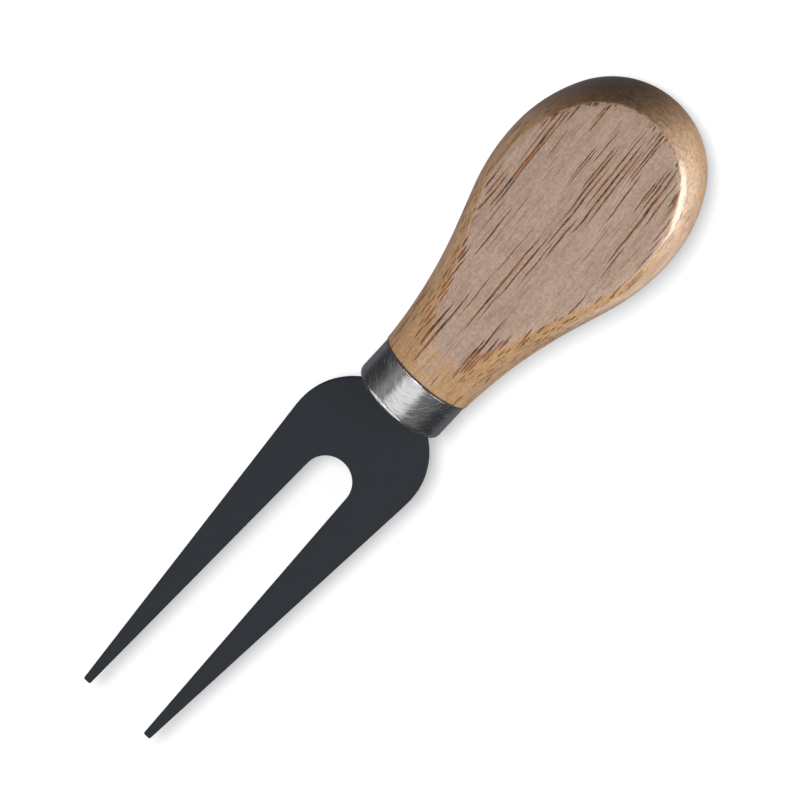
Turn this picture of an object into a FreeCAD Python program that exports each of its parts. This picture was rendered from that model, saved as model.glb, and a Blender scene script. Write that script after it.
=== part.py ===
import FreeCAD, Part
import math
import os
import Sketcher

# A two-tine cheese fork: a coated sheet-steel blade, a steel ferrule and a wooden handle.
# Millimetres. +Y runs along the fork from the handle's end to the tine tips, +X across it, and +Z
# up from the flat that it rests on. The origin is under the middle of the fork, on that flat.
# Each sub-part is drawn about its own Y axis, which its Placement puts on the axis of the fork.

SIZES = [
    ("blade_length", 66.4, "from the ferrule's front face to the tine tips"),
    ("blade_width", 23.1, "across the shoulders, where the blade is widest"),
    ("blade_thickness", 1.5, "of the sheet"),
    ("blade_edge_round", 0.2, "radius of the deburred edges"),
    ("shoulder_width", 12.0, "of the blade where it meets the ferrule"),
    ("shoulder_radius", 11.5, "of the two round shoulders"),
    ("slot_root", 12.5, "from the ferrule's front face to the root of the slot"),
    ("slot_radius", 4.05, "of the slot's round root"),
    ("tip_spread", 13.9, "over the outer corners of the two tips"),
    ("tip_width", 1.3, "of one tine at its tip"),
    ("tip_round", 0.3, "radius of a tip's corners"),
    ("tang_width", 5.5, "of the tang inside the handle"),
    ("tang_length", 25.0, "from the ferrule's front face"),
    ("notch_radius", 0.7, "of the round notches that key the tang in its glue"),
    ("notch_first", 12.0, "from the ferrule's front face to the first pair of notches"),
    ("notch_pitch", 4.0, "from one pair of notches to the next"),
    ("notch_pairs", 3, "number of pairs"),
    ("ferrule_length", 7.0, "of the cup along the axis"),
    ("ferrule_diameter", 15.9, "outside"),
    ("ferrule_wall", 0.5, "of the drawn sheet"),
    ("ferrule_front_round", 1.1, "outer radius of the cup's front edge"),
    ("ferrule_rim_round", 0.12, "radius of the cup's open rim"),
    ("slot_clearance", 0.1, "between the tang and the ferrule's slot, on each side"),
    ("handle_length", 58.4, "from the ferrule's open rim to the handle's end"),
    ("handle_thickness", 16.0, "between the two flats"),
    ("belly_diameter", 32.0, "where the turned handle is widest"),
    ("belly_distance", 38.6, "from the ferrule's open rim to the widest place"),
    ("neck_diameter", 16.2, "where the wood meets the ferrule"),
    ("neck_round", 0.2, "radius of the wood's edge beside the ferrule"),
    ("flare_radius", 84.0, "of the hollow curve behind the ferrule"),
    ("waist_straight", 6.5, "length of the straight stretch between hollow and belly"),
    ("belly_radius", 36.0, "of the round curve before the widest place"),
    ("crown_radius", 25.5, "of the round curve after the widest place"),
    ("spigot_chamfer", 0.8, "on the front end of the spigot"),
    ("bore_diameter", 6.5, "of the drilled hole for the tang"),
    ("bore_depth", 20.0, "from the ferrule's open rim to the shoulder of the drill's point"),
    ("drill_point", 118.0, "angle of the drill's point"),
]

START, END, CENTRE = 1, 2, 3    # the points of a sketch's edge
ORIGIN, AXIS_X, AXIS_Y = -1, -1, -2    # a sketch's own origin and axes
FULL_TURN = 360

# Where curves of a sketch meet and how far they rise only has to be roughly right when they are
# drawn. The constraints settle it.
ROUGH_RISE = 0.5
ROUGH_FLARE_SHARE = 0.6
ROUGH_CROWN_SHARE = 0.7

document = FreeCAD.newDocument("CheeseFork")


def make_sheet():
    """Put the driving dimensions in a spreadsheet, one row each: name, value and meaning."""
    sheet = document.addObject("Spreadsheet::Sheet", "Sizes")
    for row, (name, value, meaning) in enumerate(SIZES, start=1):
        sheet.set(f"A{row}", name)
        sheet.set(f"B{row}", str(value))
        sheet.set(f"C{row}", meaning)
        sheet.setAlias(f"B{row}", name)
    document.recompute()
    return sheet


def place(sub_part, forward):
    """Put a sub-part on the fork's axis, forward along +Y by an expression of the sheet's cells."""
    sub_part.setExpression("Placement.Base.y", forward)
    sub_part.setExpression("Placement.Base.z", "Sizes.handle_thickness / 2")


# ---- Sketches ----

def origin_plane(body, role):
    return [item for item in body.Origin.OriginFeatures if item.Role == role][0]


def new_sketch(body, name):
    """Start a sketch on the body's own XY plane, with the fork's axis as its Y axis."""
    sketch = body.newObject("Sketcher::SketchObject", name)
    sketch.AttachmentSupport = (origin_plane(body, "XY_Plane"), "")
    sketch.MapMode = "FlatFace"
    return sketch


def add_line(sketch, start, end):
    segment = Part.LineSegment(FreeCAD.Vector(*start), FreeCAD.Vector(*end))
    return sketch.addGeometry(segment, False)


def add_arc(sketch, start, end, rise):
    """Draw an arc that rises from its chord, to the left on the way from start to end."""
    first, last = FreeCAD.Vector(*start), FreeCAD.Vector(*end)
    chord = last - first
    left = FreeCAD.Vector(-chord.y, chord.x, 0).normalize()
    middle = (first + last) / 2 + left * rise
    return sketch.addGeometry(Part.Arc(first, middle, last), False)


def add_circle(sketch, centre, radius):
    circle = Part.Circle(FreeCAD.Vector(*centre), FreeCAD.Vector(0, 0, 1), radius)
    return sketch.addGeometry(circle, False)


def meeting_ends(sketch, first, second):
    """The end of each of two edges that is nearest to the other edge."""
    pairs = [(first_end, second_end) for first_end in (START, END) for second_end in (START, END)]

    def gap(pair):
        return (sketch.getPoint(first, pair[0]) - sketch.getPoint(second, pair[1])).Length

    return min(pairs, key=gap)


def close_loop(sketch, edges, smooth=()):
    """Join edges end to end in a loop. The edges named in smooth run on smoothly to the next."""
    for first, second in zip(edges, edges[1:] + edges[:1]):
        kind = "Tangent" if first in smooth else "Coincident"
        first_end, second_end = meeting_ends(sketch, first, second)
        sketch.addConstraint(Sketcher.Constraint(kind, first, first_end, second, second_end))


def on_axis(sketch, axis, *points):
    for edge, end in points:
        sketch.addConstraint(Sketcher.Constraint("PointOnObject", edge, end, axis))


def align(sketch, kind, *edges):
    """Make edges Horizontal or Vertical."""
    for edge in edges:
        sketch.addConstraint(Sketcher.Constraint(kind, edge))


def dimension(sketch, expression, kind, *where):
    """Add a driving dimension, bound to an expression of the sheet's cells."""
    value = sketch.evalExpression(expression)
    index = sketch.addConstraint(Sketcher.Constraint(kind, *where, value))
    sketch.setExpression(f"Constraints[{index}]", expression)


def check_sketch(sketch):
    document.recompute()
    if not sketch.FullyConstrained:
        raise RuntimeError(f"{sketch.Name} is not fully constrained")


# ---- Features ----

def volume(body):
    document.recompute()
    return body.Shape.Volume


def check_cut(body, before):
    """A cut that points away from the solid removes nothing, so compare the volumes."""
    if not volume(body) < before:
        raise RuntimeError(f"{body.Tip.Name} cuts nothing from {body.Name}")


def revolve(body, kind, name, half_section):
    """Turn a half section about the fork's axis: kind is Revolution or Groove."""
    feature = body.newObject(f"PartDesign::{kind}", name)
    feature.Profile = half_section
    feature.ReferenceAxis = (half_section, ["V_Axis"])
    feature.Angle = FULL_TURN
    document.recompute()
    return feature


def mirror(body, name, feature, plane):
    """Repeat a feature on the other side of one of the body's own origin planes."""
    mirrored = body.newObject("PartDesign::Mirrored", name)
    mirrored.Originals = [feature]
    mirrored.MirrorPlane = (origin_plane(body, plane), [""])
    body.Tip = mirrored
    document.recompute()
    return mirrored


def round_edges(body, name, base, is_wanted, radius):
    """Fillet the edges of a feature for which is_wanted(box of the edge) is true."""
    names = [f"Edge{number}" for number, edge in enumerate(base.Shape.Edges, start=1)
             if is_wanted(edge.BoundBox)]
    fillet = body.newObject("PartDesign::Fillet", name)
    fillet.Base = (base, names)
    fillet.setExpression("Radius", radius)
    document.recompute()
    return fillet


# ---- Blade ----

def draw_blade_half(body, sheet):
    """The right half of the blade and tang. The origin is where the blade meets the ferrule."""
    sketch = new_sketch(body, "BladeHalf")
    tang_x, tang_y = sheet.tang_width / 2, -sheet.tang_length
    seat_x, widest_x = sheet.shoulder_width / 2, sheet.blade_width / 2
    outer_x, tip_y = sheet.tip_spread / 2, sheet.blade_length
    inner_x, root_y, radius = outer_x - sheet.tip_width, sheet.slot_root, sheet.slot_radius

    middle = add_line(sketch, (0, root_y), (0, tang_y))
    tang_end = add_line(sketch, (0, tang_y), (tang_x, tang_y))
    tang_side = add_line(sketch, (tang_x, tang_y), (tang_x, 0))
    seat = add_line(sketch, (tang_x, 0), (seat_x, 0))
    shoulder = add_arc(sketch, (seat_x, 0), (widest_x, root_y - radius), -radius / 3)
    outer_edge = add_line(sketch, (widest_x, root_y - radius), (outer_x, tip_y))
    tip = add_line(sketch, (outer_x, tip_y), (inner_x, tip_y))
    inner_edge = add_line(sketch, (inner_x, tip_y), (radius, root_y + radius))
    root = add_arc(sketch, (radius, root_y + radius), (0, root_y), radius / 4)

    edges = [middle, tang_end, tang_side, seat, shoulder, outer_edge, tip, inner_edge, root]
    close_loop(sketch, edges, smooth=(shoulder, inner_edge))
    on_axis(sketch, AXIS_Y, (middle, START), (middle, END), (root, CENTRE))
    on_axis(sketch, AXIS_X, (seat, START))
    align(sketch, "Horizontal", tang_end, seat, tip)
    align(sketch, "Vertical", tang_side)
    dimension(sketch, "Sizes.tang_length", "DistanceY", middle, END, ORIGIN, START)
    dimension(sketch, "Sizes.tang_width / 2", "DistanceX", ORIGIN, START, tang_side, START)
    dimension(sketch, "Sizes.shoulder_width / 2", "DistanceX", ORIGIN, START, seat, END)
    dimension(sketch, "Sizes.shoulder_radius", "Radius", shoulder)
    dimension(sketch, "Sizes.blade_width / 2 - Sizes.shoulder_radius",
              "DistanceX", ORIGIN, START, shoulder, CENTRE)
    dimension(sketch, "Sizes.blade_length", "DistanceY", ORIGIN, START, tip, START)
    dimension(sketch, "Sizes.tip_spread / 2", "DistanceX", ORIGIN, START, tip, START)
    dimension(sketch, "Sizes.tip_width", "DistanceX", tip, END, tip, START)
    dimension(sketch, "Sizes.slot_root", "DistanceY", ORIGIN, START, middle, START)
    dimension(sketch, "Sizes.slot_radius", "Radius", root)
    check_sketch(sketch)
    return sketch


def draw_notch_pair(body, sheet):
    """Two circles centred on the sides of the tang, nearest to the blade."""
    sketch = new_sketch(body, "NotchPair")
    side_x, notch_y = sheet.tang_width / 2, -sheet.notch_first
    left = add_circle(sketch, (-side_x, notch_y), sheet.notch_radius)
    right = add_circle(sketch, (side_x, notch_y), sheet.notch_radius)
    for circle in (left, right):
        dimension(sketch, "Sizes.notch_radius", "Radius", circle)
        dimension(sketch, "Sizes.notch_first", "DistanceY", circle, CENTRE, ORIGIN, START)
    dimension(sketch, "Sizes.tang_width / 2", "DistanceX", left, CENTRE, ORIGIN, START)
    dimension(sketch, "Sizes.tang_width / 2", "DistanceX", ORIGIN, START, right, CENTRE)
    check_sketch(sketch)
    return sketch


def make_blade(sheet):
    """The stamped blade: two tines, round shoulders and a notched tang, all one sheet."""
    body = document.addObject("PartDesign::Body", "fork_blade")
    half = body.newObject("PartDesign::Pad", "HalfSheet")
    half.Profile = draw_blade_half(body, sheet)
    half.Midplane = True
    half.setExpression("Length", "Sizes.blade_thickness")
    document.recompute()
    mirror(body, "WholeSheet", half, "YZ_Plane")

    before = volume(body)
    notch = body.newObject("PartDesign::Pocket", "Notch")
    notch.Profile = draw_notch_pair(body, sheet)
    notch.Midplane = True
    notch.setExpression("Length", "2 * Sizes.blade_thickness")
    check_cut(body, before)

    before = volume(body)
    notches = body.newObject("PartDesign::LinearPattern", "Notches")
    notches.Originals = [notch]
    notches.Direction = (notch.Profile[0], ["V_Axis"])
    notches.Reversed = True
    notches.setExpression("Length", "Sizes.notch_pitch * (Sizes.notch_pairs - 1)")
    notches.setExpression("Occurrences", "Sizes.notch_pairs")
    body.Tip = notches
    check_cut(body, before)

    def is_tip_corner(box):
        across_sheet = box.ZLength > sheet.blade_thickness / 2
        return across_sheet and box.YMin > sheet.blade_length - sheet.tip_round

    def is_blade_rim(box):
        in_face = box.ZLength < sheet.blade_thickness / 2
        return in_face and box.YMax > sheet.blade_edge_round

    tips = round_edges(body, "TipCorners", notches, is_tip_corner, "Sizes.tip_round")
    round_edges(body, "DeburredEdges", tips, is_blade_rim, "Sizes.blade_edge_round")
    place(body, "(Sizes.handle_length + Sizes.ferrule_length - Sizes.blade_length) / 2")
    return body


# ---- Ferrule ----

def draw_cup_half(body, sheet):
    """Half the section of the ferrule's wall. The origin is the middle of its open rim."""
    sketch = new_sketch(body, "CupHalf")
    outer_x, front_y = sheet.ferrule_diameter / 2, sheet.ferrule_length
    inner_x, floor_y = outer_x - sheet.ferrule_wall, front_y - sheet.ferrule_wall
    outer_bend = sheet.ferrule_front_round
    inner_bend = outer_bend - sheet.ferrule_wall

    middle = add_line(sketch, (0, floor_y), (0, front_y))
    front = add_line(sketch, (0, front_y), (outer_x - outer_bend, front_y))
    outer_arc = add_arc(sketch, (outer_x - outer_bend, front_y), (outer_x, front_y - outer_bend),
                        outer_bend / 4)
    outer_side = add_line(sketch, (outer_x, front_y - outer_bend), (outer_x, 0))
    rim = add_line(sketch, (outer_x, 0), (inner_x, 0))
    inner_side = add_line(sketch, (inner_x, 0), (inner_x, floor_y - inner_bend))
    inner_arc = add_arc(sketch, (inner_x, floor_y - inner_bend), (inner_x - inner_bend, floor_y),
                        -inner_bend / 4)
    floor = add_line(sketch, (inner_x - inner_bend, floor_y), (0, floor_y))

    edges = [middle, front, outer_arc, outer_side, rim, inner_side, inner_arc, floor]
    close_loop(sketch, edges, smooth=(front, outer_arc, inner_side, inner_arc))
    on_axis(sketch, AXIS_Y, (middle, START), (middle, END))
    on_axis(sketch, AXIS_X, (rim, START))
    align(sketch, "Horizontal", front, rim, floor)
    align(sketch, "Vertical", outer_side, inner_side)
    dimension(sketch, "Sizes.ferrule_length", "DistanceY", ORIGIN, START, middle, END)
    dimension(sketch, "Sizes.ferrule_wall", "DistanceY", middle, START, middle, END)
    dimension(sketch, "Sizes.ferrule_diameter / 2", "DistanceX", ORIGIN, START, rim, START)
    dimension(sketch, "Sizes.ferrule_wall", "DistanceX", rim, END, rim, START)
    dimension(sketch, "Sizes.ferrule_front_round", "Radius", outer_arc)
    dimension(sketch, "Sizes.ferrule_front_round - Sizes.ferrule_wall", "Radius", inner_arc)
    check_sketch(sketch)
    return sketch


def draw_tang_slot(body, sheet):
    """The slot in the ferrule's front, seen along Z, long enough to pass through the wall."""
    sketch = new_sketch(body, "SlotOutline")
    side_x = sheet.tang_width / 2 + sheet.slot_clearance
    low_y = sheet.ferrule_length - 2 * sheet.ferrule_wall
    high_y = sheet.ferrule_length + sheet.ferrule_wall

    bottom = add_line(sketch, (-side_x, low_y), (side_x, low_y))
    right = add_line(sketch, (side_x, low_y), (side_x, high_y))
    top = add_line(sketch, (side_x, high_y), (-side_x, high_y))
    left = add_line(sketch, (-side_x, high_y), (-side_x, low_y))

    close_loop(sketch, [bottom, right, top, left])
    align(sketch, "Horizontal", bottom, top)
    align(sketch, "Vertical", right, left)
    half_width = "Sizes.tang_width / 2 + Sizes.slot_clearance"
    dimension(sketch, half_width, "DistanceX", bottom, START, ORIGIN, START)
    dimension(sketch, half_width, "DistanceX", ORIGIN, START, bottom, END)
    dimension(sketch, "Sizes.ferrule_length - 2 * Sizes.ferrule_wall",
              "DistanceY", ORIGIN, START, bottom, START)
    dimension(sketch, "3 * Sizes.ferrule_wall", "DistanceY", right, START, right, END)
    check_sketch(sketch)
    return sketch


def make_ferrule(sheet):
    """The drawn cup that covers the handle's spigot, slotted in front for the tang."""
    body = document.addObject("PartDesign::Body", "ferrule")
    cup = revolve(body, "Revolution", "Cup", draw_cup_half(body, sheet))

    def is_rim(box):
        return box.YMax < sheet.ferrule_rim_round

    round_edges(body, "RolledRim", cup, is_rim, "Sizes.ferrule_rim_round")

    before = volume(body)
    slot = body.newObject("PartDesign::Pocket", "Slot")
    slot.Profile = draw_tang_slot(body, sheet)
    slot.Midplane = True
    slot.setExpression("Length", "Sizes.blade_thickness + 2 * Sizes.slot_clearance")
    check_cut(body, before)
    place(body, "(Sizes.handle_length - Sizes.ferrule_length - Sizes.blade_length) / 2")
    return body


# ---- Handle and adhesive ----

def draw_bore_half(body, sheet):
    """Half the section of the drilled hole. The origin is level with the ferrule's open rim."""
    sketch = new_sketch(body, "BoreHalf")
    side_x = sheet.bore_diameter / 2
    mouth_y, shoulder_y = sheet.ferrule_length - sheet.ferrule_wall, -sheet.bore_depth
    point_y = shoulder_y - side_x / math.tan(math.radians(sheet.drill_point / 2))

    middle = add_line(sketch, (0, point_y), (0, mouth_y))
    mouth = add_line(sketch, (0, mouth_y), (side_x, mouth_y))
    side = add_line(sketch, (side_x, mouth_y), (side_x, shoulder_y))
    cone = add_line(sketch, (side_x, shoulder_y), (0, point_y))

    close_loop(sketch, [middle, mouth, side, cone])
    on_axis(sketch, AXIS_Y, (middle, START), (middle, END))
    align(sketch, "Horizontal", mouth)
    align(sketch, "Vertical", side)
    dimension(sketch, "Sizes.bore_diameter / 2", "DistanceX", ORIGIN, START, side, START)
    dimension(sketch, "Sizes.ferrule_length - Sizes.ferrule_wall",
              "DistanceY", ORIGIN, START, side, START)
    dimension(sketch, "Sizes.bore_depth", "DistanceY", side, END, ORIGIN, START)
    dimension(sketch, "Sizes.bore_diameter / 2 / tan(Sizes.drill_point / 2)",
              "DistanceY", middle, START, side, END)
    check_sketch(sketch)
    return sketch


def draw_handle_half(body, sheet):
    """Half the turned section. The origin is where the wood meets the ferrule's open rim."""
    sketch = new_sketch(body, "TurnedHalf")
    spigot_x = sheet.ferrule_diameter / 2 - sheet.ferrule_wall
    spigot_y = sheet.ferrule_length - sheet.ferrule_wall
    chamfer = sheet.spigot_chamfer
    neck_x, belly_x = sheet.neck_diameter / 2, sheet.belly_diameter / 2
    belly_y, end_y = -sheet.belly_distance, -sheet.handle_length
    flare_end = ((neck_x + belly_x) / 2, belly_y * ROUGH_FLARE_SHARE)
    waist_end = (flare_end[0] + sheet.waist_straight / 3, flare_end[1] - sheet.waist_straight)
    crown_end = (belly_x * ROUGH_CROWN_SHARE, belly_y + (end_y - belly_y) * ROUGH_CROWN_SHARE)

    middle = add_line(sketch, (0, end_y), (0, spigot_y))
    spigot_face = add_line(sketch, (0, spigot_y), (spigot_x - chamfer, spigot_y))
    chamfer_line = add_line(sketch, (spigot_x - chamfer, spigot_y), (spigot_x, spigot_y - chamfer))
    spigot_side = add_line(sketch, (spigot_x, spigot_y - chamfer), (spigot_x, 0))
    neck_face = add_line(sketch, (spigot_x, 0), (neck_x, 0))
    flare = add_arc(sketch, (neck_x, 0), flare_end, -ROUGH_RISE)
    waist = add_line(sketch, flare_end, waist_end)
    belly = add_arc(sketch, waist_end, (belly_x, belly_y), ROUGH_RISE)
    crown = add_arc(sketch, (belly_x, belly_y), crown_end, 3 * ROUGH_RISE)
    end = add_arc(sketch, crown_end, (0, end_y), 4 * ROUGH_RISE)

    edges = [middle, spigot_face, chamfer_line, spigot_side, neck_face, flare, waist, belly, crown, end]
    close_loop(sketch, edges, smooth=(flare, waist, belly, crown))
    on_axis(sketch, AXIS_Y, (middle, START), (middle, END), (end, CENTRE))
    on_axis(sketch, AXIS_X, (neck_face, START))
    align(sketch, "Horizontal", spigot_face, neck_face)
    align(sketch, "Vertical", spigot_side)
    belly_end = meeting_ends(sketch, belly, crown)[0]
    sketch.addConstraint(Sketcher.Constraint("Horizontal", belly, CENTRE, belly, belly_end))
    dimension(sketch, "Sizes.ferrule_length - Sizes.ferrule_wall",
              "DistanceY", ORIGIN, START, spigot_face, END)
    dimension(sketch, "Sizes.ferrule_diameter / 2 - Sizes.ferrule_wall",
              "DistanceX", ORIGIN, START, spigot_side, START)
    dimension(sketch, "Sizes.spigot_chamfer", "DistanceX", chamfer_line, START, chamfer_line, END)
    dimension(sketch, "Sizes.spigot_chamfer", "DistanceY", chamfer_line, END, chamfer_line, START)
    dimension(sketch, "Sizes.neck_diameter / 2", "DistanceX", ORIGIN, START, neck_face, END)
    dimension(sketch, "Sizes.flare_radius", "Radius", flare)
    dimension(sketch, "Sizes.waist_straight", "Distance", waist)
    dimension(sketch, "Sizes.belly_radius", "Radius", belly)
    dimension(sketch, "Sizes.belly_diameter / 2", "DistanceX", ORIGIN, START, belly, belly_end)
    dimension(sketch, "Sizes.belly_distance", "DistanceY", belly, belly_end, ORIGIN, START)
    dimension(sketch, "Sizes.crown_radius", "Radius", crown)
    dimension(sketch, "Sizes.handle_length", "DistanceY", middle, START, ORIGIN, START)
    check_sketch(sketch)
    return sketch


def draw_waste(body, sheet):
    """The waste above one flat, seen along Z: a rectangle larger than the handle."""
    sketch = new_sketch(body, "WasteOutline")
    side_x, low_y = sheet.belly_diameter, -2 * sheet.handle_length

    bottom = add_line(sketch, (-side_x, low_y), (side_x, low_y))
    right = add_line(sketch, (side_x, low_y), (side_x, 0))
    top = add_line(sketch, (side_x, 0), (-side_x, 0))
    left = add_line(sketch, (-side_x, 0), (-side_x, low_y))

    close_loop(sketch, [bottom, right, top, left])
    on_axis(sketch, AXIS_X, (top, START))
    align(sketch, "Horizontal", bottom, top)
    align(sketch, "Vertical", right, left)
    dimension(sketch, "Sizes.belly_diameter", "DistanceX", bottom, START, ORIGIN, START)
    dimension(sketch, "Sizes.belly_diameter", "DistanceX", ORIGIN, START, bottom, END)
    dimension(sketch, "2 * Sizes.handle_length", "DistanceY", right, START, right, END)
    sketch.setExpression("AttachmentOffset.Base.z", "Sizes.handle_thickness / 2")
    check_sketch(sketch)
    return sketch


def make_handle(sheet):
    """The turned handle, sanded flat above and below, and drilled for the tang."""
    body = document.addObject("PartDesign::Body", "handle")
    turned = revolve(body, "Revolution", "Turned", draw_handle_half(body, sheet))

    def is_neck_edge(box):
        at_neck = box.YLength < sheet.neck_round and abs(box.YMax) < sheet.neck_round
        return at_neck and box.XMax > sheet.neck_diameter / 2 - sheet.neck_round

    round_edges(body, "NeckEdge", turned, is_neck_edge, "Sizes.neck_round")

    before = volume(body)
    flat = body.newObject("PartDesign::Pocket", "Flat")
    flat.Profile = draw_waste(body, sheet)
    flat.Reversed = True
    flat.setExpression("Length", "Sizes.belly_diameter")
    check_cut(body, before)
    before = volume(body)
    mirror(body, "BothFlats", flat, "XY_Plane")
    check_cut(body, before)

    before = volume(body)
    revolve(body, "Groove", "Bore", draw_bore_half(body, sheet))
    check_cut(body, before)
    place(body, "(Sizes.handle_length - Sizes.ferrule_length - Sizes.blade_length) / 2")
    return body


def make_adhesive(sheet, blade):
    """The cured adhesive: all of the drilled hole that the tang doesn't fill."""
    filling = document.addObject("PartDesign::Body", "BoreFilling")
    revolve(filling, "Revolution", "Filling", draw_bore_half(filling, sheet))
    place(filling, "(Sizes.handle_length - Sizes.ferrule_length - Sizes.blade_length) / 2")
    adhesive = document.addObject("Part::Cut", "tang_adhesive")
    adhesive.Base = filling
    adhesive.Tool = blade
    return adhesive


# ---- The whole fork ----

def check_document():
    """Stop if any object failed, because a recompute can fail without raising."""
    for item in document.Objects:
        if "Invalid" in item.State or "Error" in item.State:
            raise RuntimeError(f"{item.Label} failed: {item.State}")


def export(sub_parts):
    """Check each sub-part's shape, then write it to parts/ under its label."""
    for sub_part in sub_parts:
        shape = sub_part.Shape
        if shape.isNull() or not shape.isValid() or len(shape.Solids) != 1:
            raise RuntimeError(f"{sub_part.Label} is not one valid solid")
    os.makedirs("parts", exist_ok=True)
    for sub_part in sub_parts:
        sub_part.Shape.exportStep(f"parts/{sub_part.Label}.step")
        box = sub_part.Shape.BoundBox
        print(f"{sub_part.Label}: {box.XLength:.2f} x {box.YLength:.2f} x {box.ZLength:.2f} mm, "
              f"volume {sub_part.Shape.Volume:.1f} mm3")


sizes_sheet = make_sheet()
fork_blade = make_blade(sizes_sheet)
ferrule = make_ferrule(sizes_sheet)
handle = make_handle(sizes_sheet)
tang_adhesive = make_adhesive(sizes_sheet, fork_blade)
document.recompute()
check_document()
export([fork_blade, ferrule, handle, tang_adhesive])
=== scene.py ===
import math

import bpy
import numpy as np
from mathutils import Matrix, Vector


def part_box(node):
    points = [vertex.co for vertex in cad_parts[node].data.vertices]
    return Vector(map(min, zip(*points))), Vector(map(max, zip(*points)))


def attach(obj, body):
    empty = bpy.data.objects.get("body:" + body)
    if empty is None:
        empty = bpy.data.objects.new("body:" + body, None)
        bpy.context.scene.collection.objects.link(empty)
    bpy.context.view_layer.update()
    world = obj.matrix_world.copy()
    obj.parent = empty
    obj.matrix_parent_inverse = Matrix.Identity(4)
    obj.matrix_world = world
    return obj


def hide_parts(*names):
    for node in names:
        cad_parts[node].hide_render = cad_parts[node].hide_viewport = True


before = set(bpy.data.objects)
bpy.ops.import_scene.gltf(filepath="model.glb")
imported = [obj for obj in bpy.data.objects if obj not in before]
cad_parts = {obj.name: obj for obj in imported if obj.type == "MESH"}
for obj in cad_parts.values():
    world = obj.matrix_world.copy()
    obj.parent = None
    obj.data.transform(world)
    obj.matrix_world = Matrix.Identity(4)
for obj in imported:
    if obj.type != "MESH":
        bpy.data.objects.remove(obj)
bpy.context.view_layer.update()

# The looks of a two-tine cheese fork. Metres, in the frame of the CAD model: +Y runs from the
# handle's end to the tine tips and +Z up from the flat that the fork rests on. The blade, ferrule
# and adhesive are the CAD nodes. The handle is drawn again here, with softened edges.

MM = 0.001

ferrule_low, ferrule_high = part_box("ferrule")
handle_low, handle_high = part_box("handle")
bore_low, bore_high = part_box("tang_adhesive")
axis_z = (handle_low.z + handle_high.z) / 2
rim_y = ferrule_low.y

# ---- The handle's outline ----
# Half of its turned section. A point is (distance behind the ferrule's rim, radius).

flat_height = handle_high.z - axis_z
handle_length = rim_y - handle_low.y
belly_radius = handle_high.x
belly_distance = 38.6 * MM
neck_radius = 8.1 * MM
neck_round = 0.2 * MM
flare_arc = 84.0 * MM
waist_straight = 6.5 * MM
belly_arc = 36.0 * MM
crown_arc = 25.5 * MM

neck = np.array([0.0, neck_radius])
belly_centre = np.array([belly_distance, belly_radius - belly_arc])
crown_centre = np.array([belly_distance, belly_radius - crown_arc])


def find_end_centre():
    """The end's arc is centred on the axis, touches the crown's arc and reaches the full length."""
    reach = handle_length - crown_arc
    distance = (reach**2 - belly_distance**2 - crown_centre[1]**2) / (2 * (reach - belly_distance))
    return np.array([distance, 0.0])


def find_flare_centre():
    """The hollow arc starts at the neck, and a straight of known length joins it to the belly."""
    to_belly = belly_centre - neck
    gap = np.linalg.norm(to_belly)
    apart = math.hypot(flare_arc + belly_arc, waist_straight)
    along = (flare_arc**2 - apart**2 + gap**2) / (2 * gap)
    aside = math.sqrt(flare_arc**2 - along**2)
    forward = to_belly / gap
    outward = np.array([-forward[1], forward[0]])
    return neck + forward * along + outward * aside


def find_waist():
    """The ends of the straight that touches the hollow arc and the belly's arc, and its normal."""
    between = belly_centre - flare_centre
    apart = np.linalg.norm(between)
    forward = between / apart
    aside = np.array([forward[1], -forward[0]])
    cosine = (flare_arc + belly_arc) / apart
    normal = -forward * cosine - aside * math.sqrt(1 - cosine**2)
    return flare_centre - normal * flare_arc, belly_centre + normal * belly_arc, normal


end_centre = find_end_centre()
end_arc = handle_length - end_centre[0]
flare_centre = find_flare_centre()
waist_start, waist_end, waist_normal = find_waist()


def outside_turned(along, radius):
    """How far a point is outside the turned surface, below zero inside it."""
    to_end = end_centre - crown_centre
    past_crown = (along - crown_centre[0]) * to_end[1] > (radius - crown_centre[1]) * to_end[0]
    flare = flare_arc - np.hypot(along - flare_centre[0], radius - flare_centre[1])
    waist = (along - waist_start[0]) * waist_normal[0] + (radius - waist_start[1]) * waist_normal[1]
    belly = np.hypot(along - belly_centre[0], radius - belly_centre[1]) - belly_arc
    crown = np.hypot(along - crown_centre[0], radius - crown_centre[1]) - crown_arc
    end = np.hypot(along - end_centre[0], radius) - end_arc
    return np.select([along < waist_start[0], along < waist_end[0], along < belly_distance, past_crown],
                     [flare, waist, belly, end], crown)


# ---- The handle's surface ----

edge_softness = 1.2 * MM     # how wide the sanded edge between a flat and the turned surface is
edge_variation = 0.65 * MM   # it was sanded more on the -X side than on the +X side
edge_least = 0.35 * MM       # but it is nowhere sharper than this, away from the neck
edge_ramp = 10.0 * MM        # the edge sharpens over this distance to the neck
edge_at_neck = 0.05          # and the square of this share of it is left there


def outside_handle(along, across, up):
    """How far a point is outside the handle, with the edges of its two flats softened."""
    turned = outside_turned(along, np.hypot(across, up))
    flats = np.abs(up) - flat_height
    fade = np.clip(along / edge_ramp, edge_at_neck, 1)**2
    softness = np.maximum(edge_softness - edge_variation * across / belly_radius, edge_least) * fade
    overlap = np.maximum(softness - np.abs(turned - flats), 0) / softness
    return np.maximum(turned, flats) + overlap**2 * softness / 4


search_reach = 1.8 * belly_radius    # farther than any ray from the axis goes inside the handle
halvings = 40


def reach_surface(outside, start, headings):
    """Distance from a point on the axis to the surface along each heading, by halving."""
    near = np.zeros(len(headings))
    far = np.full(len(headings), search_reach)
    for _ in range(halvings):
        middle = (near + far) / 2
        points = start + headings * middle[:, None]
        inside = outside(*points.T) < 0
        near = np.where(inside, middle, near)
        far = np.where(inside, far, middle)
    return (near + far) / 2


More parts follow.
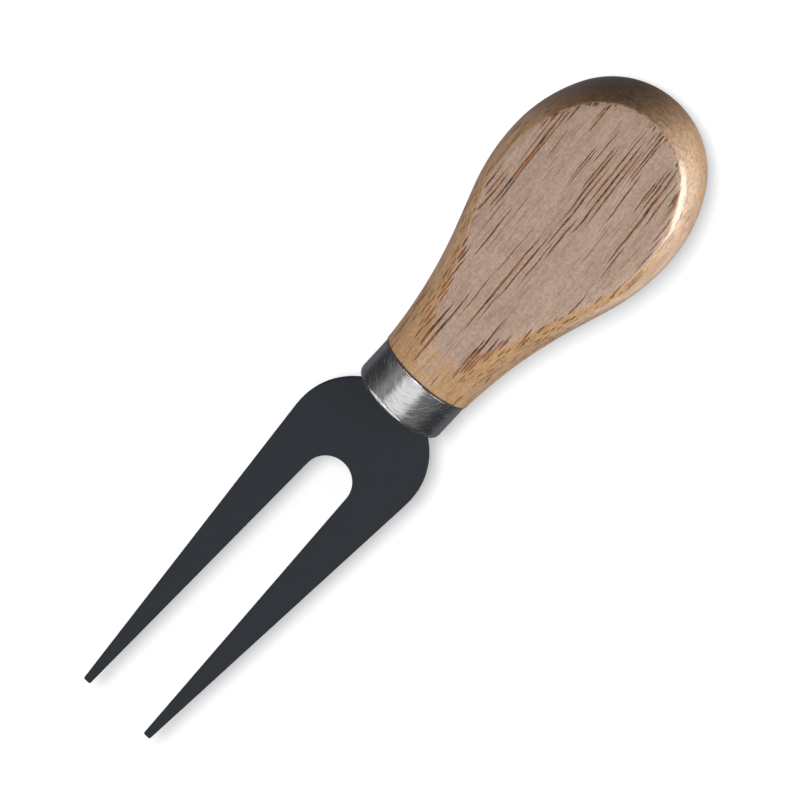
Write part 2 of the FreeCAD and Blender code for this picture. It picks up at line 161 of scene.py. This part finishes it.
columns = 60             # faces in a quarter of each ring
corner_crowding = 2.5    # how much closer the columns lie at the edge of a flat
corner_spread = 0.07     # over how much of the turn, in radians
corner_onset = 10        # how fast the crowding sets in where the flat begins
fine_steps = 2000


def column_angles(turned_radius):
    """The angles of a ring's points about the axis, crowded towards the edges of the flats."""
    fine = np.linspace(0, math.pi / 2, fine_steps)
    density = np.ones_like(fine)
    if turned_radius > flat_height:
        corner = math.asin(flat_height / turned_radius)
        strength = corner_crowding * min(1, (turned_radius / flat_height - 1) * corner_onset)
        density += strength * np.exp(-((fine - corner) / corner_spread)**2)
    share = np.concatenate([[0], np.cumsum((density[1:] + density[:-1]) / 2)])
    share /= share[-1]
    steps = np.arange(columns) / columns
    quarter = np.interp(steps, share, fine)
    mirrored = math.pi - np.interp(1 - steps, share, fine)
    half = np.concatenate([quarter, mirrored])
    return np.concatenate([half, half + math.pi])


def to_world(along, across, up):
    """Points in the frame, from the distance behind the rim and two offsets from the axis."""
    return np.column_stack(np.broadcast_arrays(across, rim_y - along, axis_z + up))


def circle_ring(along, radius, angles):
    """A ring of points round the axis. The radius is one number or one for each angle."""
    return to_world(np.full(len(angles), along), radius * np.cos(angles), radius * np.sin(angles))


def surface_ring(centre, lean):
    """A ring of the outer surface, on rays from a point on the axis that lean towards the end."""
    start = np.array([centre, 0.0, 0.0])
    side = np.array([[math.cos(lean), math.sin(lean), 0.0]])
    turned = reach_surface(lambda a, x, z: outside_turned(a, np.hypot(x, z)), start, side)[0]
    angles = column_angles(turned * math.sin(lean))
    headings = np.column_stack([np.full(len(angles), math.cos(lean)),
                                math.sin(lean) * np.cos(angles),
                                math.sin(lean) * np.sin(angles)])
    points = start + headings * reach_surface(outside_handle, start, headings)[:, None]
    return to_world(*points.T), angles


ferrule_wall = 0.5 * MM
spigot_front = rim_y - bore_high.y    # like every distance behind the rim, below zero in front of it
spigot_radius = ferrule_high.x - ferrule_wall
spigot_chamfer = 0.8 * MM
bore_radius = bore_high.x
drill_half_angle = math.radians(59)
drill_point = rim_y - bore_low.y
drill_shoulder = drill_point - bore_radius / math.tan(drill_half_angle)
ring_spacing = 0.36 * MM
cap_crowding = 1.45      # how much closer the rings lie on the rounded end
bore_rings = 12
neck_steps = 6
sharp_edge = math.radians(40)


def handle_rings():
    """The rings of the whole skin, from the drilled bore's point, over the spigot, to the end."""
    first, angles = surface_ring(neck_round, math.pi / 2)
    first_radius = np.hypot(first[:, 0], first[:, 2] - axis_z)
    rings = []
    for along in np.linspace(drill_shoulder, spigot_front, bore_rings):
        rings.append(circle_ring(along, bore_radius, angles))
    rings.append(circle_ring(spigot_front, spigot_radius - spigot_chamfer, angles))
    rings.append(circle_ring(spigot_front + spigot_chamfer, spigot_radius, angles))
    rings.append(circle_ring(0, spigot_radius, angles))
    for turn in np.linspace(0, math.pi / 2, neck_steps)[:-1]:
        radius = first_radius - neck_round * (1 - math.sin(turn))
        rings.append(circle_ring(neck_round * (1 - math.cos(turn)), radius, angles))
    rings.append(first)
    body = round(end_centre[0] / ring_spacing)
    for along in np.linspace(neck_round, end_centre[0], body)[1:]:
        rings.append(surface_ring(along, math.pi / 2)[0])
    cap = round(cap_crowding * end_arc / ring_spacing)
    for lean in np.linspace(math.pi / 2, 0, cap)[1:-1]:
        rings.append(surface_ring(end_centre[0], lean)[0])
    return rings


def make_handle():
    """One closed skin. Its two poles are the drill's point in the bore and the handle's end."""
    rings = handle_rings()
    size = 4 * columns
    bore_pole = to_world(np.array([drill_point]), 0, 0)
    end_pole = to_world(np.array([handle_length]), 0, 0)
    points = np.concatenate([bore_pole] + rings + [end_pole])
    last = len(points) - 1
    faces = []
    for step in range(size):
        following = (step + 1) % size
        faces.append((0, 1 + following, 1 + step))
        for ring in range(len(rings) - 1):
            here = 1 + ring * size
            there = here + size
            faces.append((here + step, here + following, there + following, there + step))
        here = last - size
        faces.append((here + step, here + following, last))
    mesh = bpy.data.meshes.new("handle_turned")
    mesh.from_pydata([tuple(point) for point in points], [], faces)
    mesh.validate()
    mesh.polygons.foreach_set("use_smooth", [True] * len(mesh.polygons))
    mesh.set_sharp_from_angle(angle=sharp_edge)
    handle = bpy.data.objects.new("handle_turned", mesh)
    bpy.context.scene.collection.objects.link(handle)
    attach(handle, "root")
    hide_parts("handle")
    return handle


# ---- Node helpers ----


class Nodes:
    """Builds the nodes of a material or world. Numbers, colours and sockets can all be inputs."""

    def __init__(self, owner):
        self.owner = owner
        owner.use_nodes = True
        self.tree = owner.node_tree

    def put(self, socket, value):
        if isinstance(value, bpy.types.NodeSocket):
            self.tree.links.new(value, socket)
        else:
            socket.default_value = value

    def add(self, kind, inputs, **settings):
        node = self.tree.nodes.new(kind)
        for name, value in settings.items():
            setattr(node, name, value)
        for key, value in inputs.items():
            self.put(node.inputs[key], value)
        return node

    def math(self, operation, first, second=0.0, third=0.0):
        return self.add("ShaderNodeMath", {0: first, 1: second, 2: third}, operation=operation).outputs[0]

    def vector(self, operation, first, second):
        return self.add("ShaderNodeVectorMath", {0: first, 1: second}, operation=operation).outputs[0]

    def ramp(self, value, start, stop, low=0.0, high=1.0):
        """Goes smoothly from low to high while the value goes from start to stop."""
        return self.add("ShaderNodeMapRange", {0: value, 1: start, 2: stop, 3: low, 4: high},
                        interpolation_type="SMOOTHSTEP").outputs[0]

    def noise(self, place, detail=2.0, roughness=0.5):
        return self.add("ShaderNodeTexNoise",
                        {"Vector": place, "Scale": 1.0, "Detail": detail, "Roughness": roughness}).outputs[0]

    def mix(self, share, first, second, blend="MIX"):
        return self.add("ShaderNodeMix", {0: share, 6: first, 7: second},
                        data_type="RGBA", blend_type=blend).outputs[2]

    def split(self, place):
        return self.add("ShaderNodeSeparateXYZ", {0: place}).outputs

    def join(self, x, y, z):
        return self.add("ShaderNodeCombineXYZ", {0: x, 1: y, 2: z}).outputs[0]

    def millimetres(self):
        """The place on the object in millimetres, with the handle's axis at height zero."""
        place = self.tree.nodes.new("ShaderNodeTexCoord").outputs["Object"]
        return self.vector("MULTIPLY", self.vector("SUBTRACT", place, (0, 0, axis_z)), (1000, 1000, 1000))

    def bump(self, height, depth):
        """Height from 0 to 1 stands for a relief of the given depth in metres."""
        return self.add("ShaderNodeBump", {"Strength": 1.0, "Distance": depth, "Height": height}).outputs[0]

    def finish(self, **inputs):
        """Sets the shader's inputs, named as in base_color, and gives the material back."""
        shader = self.tree.nodes["Principled BSDF"]
        for name, value in inputs.items():
            self.put(shader.inputs[name.replace("_", " ").title().replace("Ior", "IOR")], value)
        return self.owner


def new_material(name):
    return Nodes(bpy.data.materials.new(name))


def grey(value):
    return (value, value, value, 1.0)


# ---- Materials ----

# Lengths in the materials are in millimetres. A noise's place is multiplied by spots per millimetre.

grain_slope = 0.06         # the grain drifts this far towards -X for each step towards +Y
vessel_disorder = 0.75     # below 1, so that vessels keep apart
sanding_depth = 0.24       # how far below a flat the bare wood can reach
shaded_end_heading = (0.62, -0.78, 0.0)      # the side of the handle's end that is painted darker as shade, away from the lights, faces this way

bare_dark = (0.400, 0.278, 0.208, 1)
bare_light = (0.460, 0.322, 0.244, 1)
lacquered_dark = (0.43, 0.250, 0.118, 1)
lacquered_light = (0.52, 0.306, 0.146, 1)
# Painted shade: the dark brown of the handle's end on its side away from the lights.
painted_shade_brown = (0.088, 0.040, 0.012, 1)
golden = (0.47, 0.290, 0.055, 1)
pore_brown = (0.280, 0.105, 0.030, 1)
vessel_orange = (0.240, 0.076, 0.013, 1)
vessel_dark = (0.080, 0.025, 0.009, 1)
vessel_red = (0.300, 0.110, 0.022, 1)
# Painted shade: the colour of the dark line in the joint behind the ferrule.
joint_shadow_colour = (0.030, 0.014, 0.008, 1)


def vessel_layer(nodes, place, across, length, start, stop):
    """Vessels cut open at the surface: thin spindles along the grain, 1 in their middle."""
    cells = nodes.vector("DIVIDE", place, (across, length, across))
    inputs = {"Vector": cells, "Scale": 1.0, "Randomness": vessel_disorder}
    voronoi = nodes.add("ShaderNodeTexVoronoi", inputs, voronoi_dimensions="3D", feature="F1")
    return nodes.ramp(voronoi.outputs["Distance"], start, stop, 1.0, 0.0)


def along_grain(nodes, x, y, z):
    """The place in the wood, shifted so that the grain runs straight along Y."""
    grain = nodes.join(nodes.math("MULTIPLY_ADD", y, grain_slope, x), y, z)
    sway = nodes.noise(nodes.vector("MULTIPLY", grain, (0.07, 0.03, 0.07)), 1.0)
    kinks = nodes.noise(nodes.vector("MULTIPLY", grain, (0.3, 0.25, 0.3)), 1.0)
    drift = nodes.math("MULTIPLY_ADD", kinks, 0.35, nodes.math("MULTIPLY", sway, 2.4))
    return nodes.vector("ADD", grain, nodes.join(drift, 0.0, 0.0))


def open_vessels(nodes, grain):
    """Vessels and pores. They are plentiful in some streaks, and vessels are broken into beads."""
    streaks = nodes.noise(nodes.vector("MULTIPLY", grain, (0.5, 0.02, 0.5)), 2.0)
    streaks = nodes.ramp(streaks, 0.36, 0.48)
    beads = nodes.noise(nodes.vector("MULTIPLY", grain, (3.0, 1.1, 3.0)), 2.0)
    beads = nodes.ramp(beads, 0.30, 0.50, 0.55, 1.0)
    long_vessels = vessel_layer(nodes, grain, 0.68, 36.0, 0.26, 0.31)
    short_vessels = vessel_layer(nodes, nodes.vector("ADD", grain, (5.1, 9.2, 3.4)), 0.52, 18.0, 0.25, 0.31)
    pores = vessel_layer(nodes, nodes.vector("ADD", grain, (7.3, 3.1, 5.7)), 0.30, 8.0, 0.16, 0.30)
    long_vessels = nodes.math("MULTIPLY", long_vessels, nodes.math("MULTIPLY_ADD", streaks, 0.45, 0.55))
    short_vessels = nodes.math("MULTIPLY", short_vessels, nodes.math("MULTIPLY_ADD", streaks, 0.80, 0.15))
    vessels = nodes.math("MULTIPLY", nodes.math("MAXIMUM", long_vessels, short_vessels), beads)
    pores = nodes.math("MULTIPLY", pores, nodes.math("MULTIPLY_ADD", streaks, 0.30, 0.20))
    return vessels, pores


def make_wood():
    """Pinkish straight-grained wood. The flats are sanded and matt, the turned side is lacquered."""
    nodes = new_material("lacquered_wood")
    place = nodes.millimetres()
    x, y, z = nodes.split(place)
    behind_rim = nodes.math("SUBTRACT", rim_y / MM, y)
    grain = along_grain(nodes, x, y, z)
    vessels, pores = open_vessels(nodes, grain)

    # Broad bands, fine fibres and a fuzz that doesn't follow the grain.
    bands = nodes.noise(nodes.vector("MULTIPLY", grain, (0.30, 0.012, 0.30)), 3.0)
    fibres = nodes.noise(nodes.vector("MULTIPLY", grain, (2.4, 0.16, 2.4)), 4.0, 0.7)
    fuzz = nodes.noise(nodes.vector("MULTIPLY", place, (2.3, 1.8, 2.3)), 4.0, 0.8)

    # The flats are bare as far as the sanding went, which wanders a little and stops at the neck.
    uneven = nodes.noise(nodes.vector("MULTIPLY", grain, (0.9, 0.25, 0.9)), 3.0)
    level = nodes.math("MULTIPLY_ADD", uneven, 0.45, nodes.math("ABSOLUTE", z))
    level = nodes.math("SUBTRACT", level, nodes.ramp(behind_rim, 4.0, 11.0, 0.38, 0.0))
    sanded = nodes.ramp(level, flat_height / MM - sanding_depth, flat_height / MM + 0.02)

    banded = nodes.ramp(bands, 0.3, 0.7)
    bare = nodes.mix(banded, bare_dark, bare_light)
    varnished = nodes.mix(banded, lacquered_dark, lacquered_light)

    # The handle's end: painted shade in dark brown on the side away from the lights, golden on the other,
    # with mottled end grain.
    from_end = nodes.vector("SUBTRACT", place, (0.0, (rim_y - end_centre[0]) / MM, 0.0))
    toward_shade = nodes.add("ShaderNodeVectorMath", {0: from_end, 1: shaded_end_heading},
                      operation="DOT_PRODUCT").outputs["Value"]
    toward_shade = nodes.math("MULTIPLY_ADD", uneven, 4.0, toward_shade)
    # Painted shade: the lacquered colour turns dark brown the farther a point lies towards the end's side
    # away from the lights.
    varnished = nodes.mix(nodes.ramp(toward_shade, 7.5, 17.5), varnished, painted_shade_brown)

    end_grain = nodes.ramp(nodes.split(from_end)[1], -4.0, -12.0)
    mottle = nodes.noise(nodes.vector("MULTIPLY", place, (0.7, 2.0, 2.0)), 4.0, 0.7)
    spots = nodes.ramp(mottle, 0.38, 0.62, -0.5, 0.5)
    turned_end = nodes.math("MULTIPLY", end_grain, nodes.math("SUBTRACT", 1.0, sanded))

    gilded = nodes.math("MULTIPLY", end_grain, nodes.ramp(toward_shade, 4.0, -4.0))
    varnished = nodes.mix(nodes.math("MULTIPLY", gilded, 0.9), varnished, golden)
    colour = nodes.mix(sanded, varnished, bare)
    shade = nodes.math("MULTIPLY_ADD", nodes.ramp(fibres, 0.3, 0.7), 0.20, 0.72)
    shade = nodes.math("MULTIPLY_ADD", nodes.ramp(fuzz, 0.34, 0.66), 0.32, shade)
    shade = nodes.math("MULTIPLY_ADD", nodes.math("MULTIPLY", spots, turned_end), 0.55, shade)
    colour = nodes.mix(1.0, colour, shade, "MULTIPLY")

    # Vessels fade on the end, where they are cut across, and are redder on the lacquered side.
    lengthwise = nodes.math("MULTIPLY_ADD", turned_end, -0.9, 1.0)
    vessels = nodes.math("MULTIPLY", vessels, lengthwise)
    pores = nodes.math("MULTIPLY", pores, lengthwise)
    colour = nodes.mix(pores, colour, pore_brown)
    tone = nodes.ramp(nodes.noise(nodes.vector("MULTIPLY", grain, (1.0, 0.35, 1.0)), 2.0), 0.40, 0.60)
    vessel_colour = nodes.mix(tone, vessel_orange, vessel_dark)
    on_side = nodes.math("MULTIPLY_ADD", sanded, -0.55, 0.55)
    vessel_colour = nodes.mix(on_side, vessel_colour, vessel_red)
    colour = nodes.mix(vessels, colour, vessel_colour)

    # Painted shade: a dark line on the wood just behind the ferrule's rim, where the joint lies in shade.
    joint_shadow = nodes.ramp(behind_rim, 0.22, 0.55, 0.95, 0.0)
    # The painted shadow line is mixed in here.
    colour = nodes.mix(joint_shadow, colour, joint_shadow_colour)

    # Open pores are hollow, the flats aren't lacquered, and the lacquer is worn at the end.
    open_pores = nodes.math("MAXIMUM", vessels, pores)
    relief = nodes.math("MULTIPLY_ADD", fibres, 0.25, nodes.math("SUBTRACT", 0.75, open_pores))
    relief = nodes.math("MULTIPLY_ADD", nodes.math("MULTIPLY", mottle, turned_end), 7.0, relief)
    normal = nodes.bump(relief, 0.00005)
    worn = nodes.ramp(nodes.split(from_end)[1], -9.0, -15.0, 1.0, 0.2)
    lacquer = nodes.math("MULTIPLY", nodes.math("SUBTRACT", 1.0, sanded), worn)
    roughness = nodes.math("MULTIPLY_ADD", sanded, 0.24, nodes.math("MULTIPLY_ADD", fibres, 0.12, 0.36))
    return nodes.finish(base_color=colour, roughness=roughness, normal=normal, specular_ior_level=0.35,
                        coat_weight=nodes.math("MULTIPLY", lacquer, 0.8), coat_roughness=0.28)


def make_coating():
    """Black sprayed coating with a satin finish and a very fine orange-peel."""
    nodes = new_material("black_satin_coating")
    place = nodes.millimetres()
    grit = nodes.noise(nodes.vector("MULTIPLY", place, (9.0, 9.0, 9.0)), 3.0, 0.65)
    cloud = nodes.noise(nodes.vector("MULTIPLY", place, (0.12, 0.06, 0.12)), 2.0)
    colour = nodes.mix(nodes.ramp(cloud, 0.3, 0.7), (0.0240, 0.0305, 0.0415, 1), (0.0265, 0.0330, 0.0445, 1))
    colour = nodes.mix(nodes.math("MULTIPLY", grit, 0.35), colour, (0.030, 0.036, 0.049, 1))
    roughness = nodes.math("MULTIPLY_ADD", cloud, 0.10, nodes.math("MULTIPLY_ADD", grit, 0.12, 0.42))
    return nodes.finish(base_color=colour, roughness=roughness, normal=nodes.bump(grit, 0.000008),
                        specular_ior_level=0.35)


def make_steel():
    """Polished stainless steel with the curved marks of a buffing wheel."""
    nodes = new_material("polished_steel")
    x, y, z = nodes.split(nodes.millimetres())
    angle = nodes.math("ARCTAN2", x, z)
    radius = nodes.math("SQRT", nodes.math("MULTIPLY_ADD", x, x, nodes.math("MULTIPLY", z, z)))
    profile = nodes.math("SUBTRACT", y, radius)    # runs along the cylinder and over the front face
    turned = nodes.math("MULTIPLY", angle, 3.0)
    swirl = nodes.math("MULTIPLY_ADD", nodes.math("COSINE", turned), -2.4, profile)
    wander = nodes.noise(nodes.join(turned, nodes.math("MULTIPLY", profile, 0.4), 0.0))
    swirl = nodes.math("MULTIPLY_ADD", wander, 2.0, swirl)
    fine = nodes.vector("MULTIPLY", nodes.join(swirl, angle, 0.0), (3.6, 2.2, 1.0))
    marks = nodes.noise(fine, 4.0, 0.65)
    coarse = nodes.vector("MULTIPLY", nodes.join(swirl, angle, 3.0), (1.2, 2.0, 1.0))
    smears = nodes.noise(coarse, 2.0)
    scratches = nodes.ramp(marks, 0.50, 0.62)
    roughness = nodes.math("MULTIPLY_ADD", scratches, 0.34, nodes.math("MULTIPLY_ADD", smears, 0.08, 0.10))
    colour = nodes.mix(smears, (0.54, 0.54, 0.55, 1), (0.64, 0.64, 0.64, 1))
    colour = nodes.mix(nodes.math("MULTIPLY", scratches, 0.20), colour, (0.34, 0.34, 0.35, 1))
    return nodes.finish(base_color=colour, metallic=1.0, roughness=roughness,
                        normal=nodes.bump(nodes.math("ADD", marks, smears), 0.000035))


def make_epoxy():
    """Cured amber epoxy with a few bubbles. It is hidden in the handle."""
    nodes = new_material("cured_epoxy")
    place = nodes.millimetres()
    bubbles = nodes.add("ShaderNodeTexVoronoi", {"Vector": place, "Scale": 1.6}).outputs["Distance"]
    bubble = nodes.ramp(bubbles, 0.18, 0.26, 1.0, 0.0)
    cloud = nodes.noise(nodes.vector("MULTIPLY", place, (0.5, 0.5, 0.5)), 3.0)
    colour = nodes.mix(cloud, (0.42, 0.27, 0.09, 1), (0.55, 0.38, 0.16, 1))
    colour = nodes.mix(nodes.math("MULTIPLY", bubble, 0.5), colour, (0.75, 0.62, 0.38, 1))
    return nodes.finish(base_color=colour, roughness=nodes.math("MULTIPLY_ADD", cloud, 0.2, 0.25),
                        normal=nodes.bump(nodes.math("SUBTRACT", 1.0, bubble), 0.00005))


def coat_node(name, material):
    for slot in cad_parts[name].material_slots:
        slot.material = material


# ---- Studio ----
# A softbox is given by its direction from the fork's middle, its distance, size and radiance.


def make_collection(name, members):
    """A collection that only tells a light which objects it reaches."""
    collection = bpy.data.collections.new(name)
    for member in members:
        collection.objects.link(member)
    return collection


def aim(piece, place, target):
    piece.location = place
    piece.rotation_euler = (place - target).to_track_quat("Z", "Y").to_euler()


def panel(name, place, target, width, height, radiance, reaches, glossy=True, diffuse=True):
    """A rectangular light that isn't seen itself and only reaches one collection.

    One that isn't glossy gives no reflections, and one that isn't diffuse gives nothing else.
    """
    lamp = bpy.data.lights.new(name, "AREA")
    lamp.shape = "RECTANGLE"
    lamp.size = width
    lamp.size_y = height
    lamp.energy = radiance * math.pi * width * height
    box = bpy.data.objects.new(name, lamp)
    bpy.context.scene.collection.objects.link(box)
    aim(box, place, target)
    box.visible_camera = False
    box.visible_glossy = glossy
    box.visible_diffuse = diffuse
    box.light_linking.receiver_collection = reaches


def softbox(name, direction, distance, width, height, radiance, reaches, glossy=True, diffuse=True):
    """A panel that looks at the middle of the fork from the given direction."""
    target = Vector((0, 0, axis_z))
    place = target + Vector(direction).normalized() * distance
    panel(name, place, target, width, height, radiance, reaches, glossy, diffuse)


card_height = 0.5 * MM


def floor_card(name, x, y, width, height, radiance, reaches):
    """A panel that lies just above the floor and shines up, as a bright patch of table would."""
    place = Vector((x, y, card_height))
    panel(name, place, place + Vector((0, 0, 1)), width, height, radiance, reaches)


def make_floor():
    """A plain white floor. It lies a hair below the fork, so that the two never share a face."""
    half = 3.0
    top = -0.05 * MM
    corners = [(-half, -half, top), (half, -half, top), (half, half, top), (-half, half, top)]
    mesh = bpy.data.meshes.new("floor")
    mesh.from_pydata(corners, [], [(0, 1, 2, 3)])
    floor = bpy.data.objects.new("floor", mesh)
    bpy.context.scene.collection.objects.link(floor)
    nodes = new_material("white_floor")
    mesh.materials.append(nodes.finish(base_color=grey(0.86), roughness=0.9, specular_ior_level=0.0))
    floor.visible_glossy = False
    return floor


def make_world():
    """Dim surroundings for the reflections, dark at the horizon. The camera sees plain white."""
    world = bpy.data.worlds.new("studio")
    nodes = Nodes(world)
    direction = nodes.tree.nodes.new("ShaderNodeTexCoord").outputs["Generated"]
    height = nodes.split(direction)[2]
    above = nodes.ramp(height, 0.0, 0.7, 0.0, 1.0)
    below = nodes.ramp(height, -0.35, -0.65, 0.0, 1.0)
    colour = nodes.mix(above, (0.055, 0.055, 0.060, 1), (0.20, 0.20, 0.20, 1))
    colour = nodes.mix(below, colour, (0.150, 0.153, 0.175, 1))
    seen = nodes.tree.nodes.new("ShaderNodeLightPath").outputs["Is Camera Ray"]
    nodes.put(nodes.tree.nodes["Background"].inputs["Color"], nodes.mix(seen, colour, grey(1.0)))
    bpy.context.scene.world = world


def make_camera():
    """A long lens, 15.7 degrees off the vertical, with the fork on the diagonal of the picture."""
    tilt = math.radians(15.7)
    turn = math.radians(222.7)
    picture_width = 123.5 * MM
    lens = 1500.0
    back = Vector((0, -math.sin(tilt), math.cos(tilt)))
    level = Vector((0, math.cos(tilt), math.sin(tilt)))
    right = Vector((math.cos(turn), 0, 0)) + math.sin(turn) * level
    up = Vector((-math.sin(turn), 0, 0)) + math.cos(turn) * level
    data = bpy.data.cameras.new("camera")
    data.sensor_width = 36.0
    data.lens = lens
    distance = picture_width * lens / data.sensor_width
    aim_point = Vector((0, ferrule_high.y, axis_z)) + 0.46 * MM * right + 0.71 * MM * up
    camera = bpy.data.objects.new("camera", data)
    bpy.context.scene.collection.objects.link(camera)
    camera.matrix_world = (Matrix.Translation(aim_point + back * distance)
                           @ Matrix((right, up, back)).transposed().to_4x4())
    bpy.context.scene.camera = camera


sun_width = math.radians(21)
sun_direction = (0.15, -0.20, 1.0)


def make_sun(name, energy, reaches, shadow):
    """A part of the floor's light, from a wide soft sun. Only the key casts the soft shadow."""
    sun = bpy.data.lights.new(name, "SUN")
    sun.energy = energy
    sun.angle = sun_width
    sun.use_shadow = shadow
    lamp = bpy.data.objects.new(name, sun)
    bpy.context.scene.collection.objects.link(lamp)
    aim(lamp, Vector(sun_direction), Vector((0, 0, 0)))
    lamp.light_linking.receiver_collection = reaches


def make_studio(pieces, floor):
    """The metal, the wood and the floor are each lit by lights of their own."""
    make_world()
    on_metal = make_collection("lit_metal", pieces[1:])
    on_floor = make_collection("lit_floor", [floor])
    on_handle = make_collection("lit_handle", pieces[:1])
    on_ferrule = make_collection("lit_ferrule", [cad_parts["ferrule"]])
    softbox("overhead", (0.01, 0.27, 0.96), 0.50, 0.47, 0.34, 0.98, on_metal)
    softbox("side", (-0.70, -0.58, 0.42), 0.45, 0.45, 0.30, 2.1, on_metal)
    softbox("left", (0.70, 0.27, 0.70), 0.60, 0.20, 0.20, 0.20, on_metal)
    softbox("front", (0.234, 0.937, 0.26), 0.60, 0.69, 0.44, 1.5, on_metal)
    softbox("rim_light", (0.05, -0.75, 0.66), 0.50, 0.30, 0.15, 11.0, on_ferrule)

    softbox("wood_overhead", (0.01, 0.27, 0.96), 0.50, 0.47, 0.34, 3.45, on_handle, False)
    softbox("wood_front", (0.234, 0.937, 0.26), 0.60, 0.69, 0.44, 1.2, on_handle, False)
    softbox("wood_left", (0.65, 0.65, 0.30), 0.50, 0.40, 0.30, 1.25, on_handle, False)
    softbox("wood_right", (-0.82, -0.10, 0.45), 0.45, 0.34, 0.15, 2.0, on_handle)
    softbox("wood_end", (-0.60, -0.75, -0.06), 0.09, 0.12, 0.06, 1.9, on_handle)
    softbox("wood_glow", (-0.80, -0.42, 0.36), 0.45, 0.34, 0.15, 1.3, on_handle)
    softbox("glint", (-0.78, -0.45, 0.36), 0.45, 0.34, 0.34, 14.0, on_handle, True, False)
    floor_card("end_card", -45 * MM, -45 * MM, 50 * MM, 50 * MM, 0.62, on_handle)
    floor_card("neck_card", -42 * MM, -12 * MM, 40 * MM, 30 * MM, 0.18, on_handle)
    make_sun("floor_key", 1.85, on_floor, True)
    make_sun("floor_fill", 1.55, on_floor, False)
    bpy.context.scene.view_settings.view_transform = "Standard"


handle = make_handle()
handle.data.materials.append(make_wood())
coat_node("fork_blade", make_coating())
coat_node("ferrule", make_steel())
coat_node("tang_adhesive", make_epoxy())
handle.visible_diffuse = False    # or the wood would tint the white floor around it
shown = [handle] + [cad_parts[name] for name in ("fork_blade", "ferrule", "tang_adhesive")]
make_camera()
make_studio(shown, make_floor())
